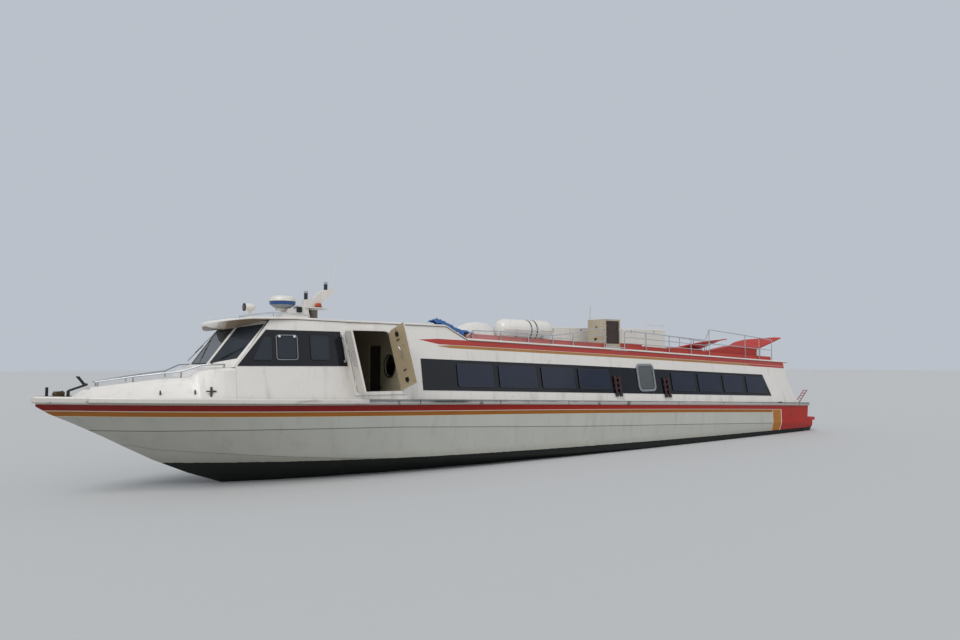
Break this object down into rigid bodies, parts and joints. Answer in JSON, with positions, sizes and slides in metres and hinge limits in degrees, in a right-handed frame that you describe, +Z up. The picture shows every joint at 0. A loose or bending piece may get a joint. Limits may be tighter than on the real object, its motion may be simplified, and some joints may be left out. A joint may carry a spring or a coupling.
{
  "type": "passenger ferry",
  "caption": "Slim fast passenger ferry with a sunken cabin, raised wheelhouse, twin entrance doors, roof gear, propellers and rudders.",
  "frame": {"origin": "on the centreline 0.15 m inside the transom, in the plane of the water she floats in", "axes": "+X forward to the bow, +Y to port, +Z up"},
  "size_m": [25.9082, 4.3249, 6.2918],
  "materials": {
    "hull_paint": "white paint with red and gold stripes over a black bottom",
    "white_gelcoat": "satin white gel coat, weathered",
    "cream_lining": "satin cream paint",
    "dark_panel": "dark brown varnish",
    "tinted_glass": "dark tinted glass",
    "red_paint": "worn satin red",
    "stainless": "polished stainless tube",
    "black_iron": "black paint",
    "rope": "laid rope",
    "grey_floor": "grey non-slip",
    "seat_cloth": "blue upholstery",
    "grey_rubber": "worn grey rubber",
    "bronze": "cast bronze"
  },
  "bodies": {
    "boat": {"hull": "hull_paint", "bow_moulding": "white_gelcoat", "foredeck": "white_gelcoat", "cabin_roof_forward": "white_gelcoat", "cabin_roof_aft": "white_gelcoat", "wheelhouse_roof": "white_gelcoat", "windscreen_frame": "white_gelcoat", "windscreen_port": "tinted_glass", "windscreen_centre": "tinted_glass", "windscreen_starboard": "tinted_glass", "cabin_aft_wall": "white_gelcoat", "entrance_bulkhead": "cream_lining", "roof_coaming": "red_paint", "hatch_house": "cream_lining", "life_raft": "white_gelcoat", "raft_cradle": "stainless", "roof_locker": "white_gelcoat", "mast": "white_gelcoat", "radar_dome": "white_gelcoat", "bow_post": "black_iron", "anchor": "black_iron", "rope_coil": "rope", "stern_platform": "red_paint", "sole_hatch": "grey_floor", "forward_sole": "grey_floor", "helm_console": "grey_floor", "helm_seat": "seat_cloth", "side_fender_port": "grey_rubber", "cabin_side_port": "white_gelcoat", "window_band_port": "tinted_glass", "wheelhouse_window_port": "tinted_glass", "emergency_window_port": "stainless", "roof_rail_port": "stainless", "roof_wing_port": "red_paint", "bow_rail_port": "stainless", "seats_port": "seat_cloth", "engine_port": "black_iron", "shaft_strut_port": "bronze", "side_fender_starboard": "grey_rubber", "cabin_side_starboard": "white_gelcoat", "window_band_starboard": "tinted_glass", "wheelhouse_window_starboard": "tinted_glass", "emergency_window_starboard": "stainless", "roof_rail_starboard": "stainless", "roof_wing_starboard": "red_paint", "bow_rail_starboard": "stainless", "seats_starboard": "seat_cloth", "engine_starboard": "black_iron", "shaft_strut_starboard": "bronze"},
    "aft_door": {"aft_door": "cream_lining"},
    "door_aft_port": {"door_aft_port": "white_gelcoat"},
    "door_aft_starboard": {"door_aft_starboard": "white_gelcoat"},
    "door_forward_port": {"door_forward_port": "white_gelcoat"},
    "door_forward_starboard": {"door_forward_starboard": "white_gelcoat"},
    "hatch_door": {"hatch_door": "dark_panel"},
    "propeller_port": {"propeller_port": "bronze"},
    "propeller_starboard": {"propeller_starboard": "bronze"},
    "rudder_port": {"rudder_port": "bronze"},
    "rudder_starboard": {"rudder_starboard": "bronze"},
    "searchlight": {"searchlight": "white_gelcoat"}
  },
  "joints": [
    {"name": "port_forward_door_hinge", "type": "hinge", "parent": "boat", "child": "door_forward_port", "pos_m": [18.935, 1.76283, 1.996], "axis": [0.1611, -0.1794, 0.9705], "range_deg": [-15, 100]},
    {"name": "port_aft_door_hinge", "type": "hinge", "parent": "boat", "child": "door_aft_port", "pos_m": [17.797, 1.82147, 1.996], "axis": [0.1611, -0.1794, 0.9705], "range_deg": [-105, 10]},
    {"name": "starboard_forward_door_hinge", "type": "hinge", "parent": "boat", "child": "door_forward_starboard", "pos_m": [18.935, -1.76283, 1.996], "axis": [0.1611, 0.1794, 0.9705], "range_deg": [0, 115]},
    {"name": "starboard_aft_door_hinge", "type": "hinge", "parent": "boat", "child": "door_aft_starboard", "pos_m": [17.797, -1.82147, 1.996], "axis": [0.1611, 0.1794, 0.9705], "range_deg": [-115, 0]},
    {"name": "aft_door_slide", "type": "slide", "parent": "boat", "child": "aft_door", "axis": [0, -1, 0], "range_m": [0, 0.74]},
    {"name": "hatch_door_hinge", "type": "hinge", "parent": "boat", "child": "hatch_door", "pos_m": [10.384, 1.328, 3.5], "axis": [0, 0, -1], "range_deg": [0, 100]},
    {"name": "searchlight_pan", "type": "hinge", "parent": "boat", "child": "searchlight", "pos_m": [20.91, 0.3, 3.8], "axis": [0, 0, 1], "range_deg": [-170, 170]},
    {"name": "port_propeller_spin", "type": "hinge", "parent": "boat", "child": "propeller_port", "pos_m": [0.7, 0.85, -0.53], "axis": [0.9903, 0, 0.1392], "continuous": true},
    {"name": "starboard_propeller_spin", "type": "hinge", "parent": "boat", "child": "propeller_starboard", "pos_m": [0.7, -0.85, -0.53], "axis": [0.9903, 0, 0.1392], "continuous": true},
    {"name": "port_rudder_turn", "type": "hinge", "parent": "boat", "child": "rudder_port", "pos_m": [0.19, 0.85, -0.5], "axis": [0, 0, 1], "range_deg": [-35, 35]},
    {"name": "starboard_rudder_turn", "type": "hinge", "parent": "boat", "child": "rudder_starboard", "pos_m": [0.19, -0.85, -0.5], "axis": [0, 0, 1], "range_deg": [-35, 35]}
  ],
  "couplings": [
    {"joint": "starboard_rudder_turn", "follows": "port_rudder_turn", "ratio": 1}
  ]
}
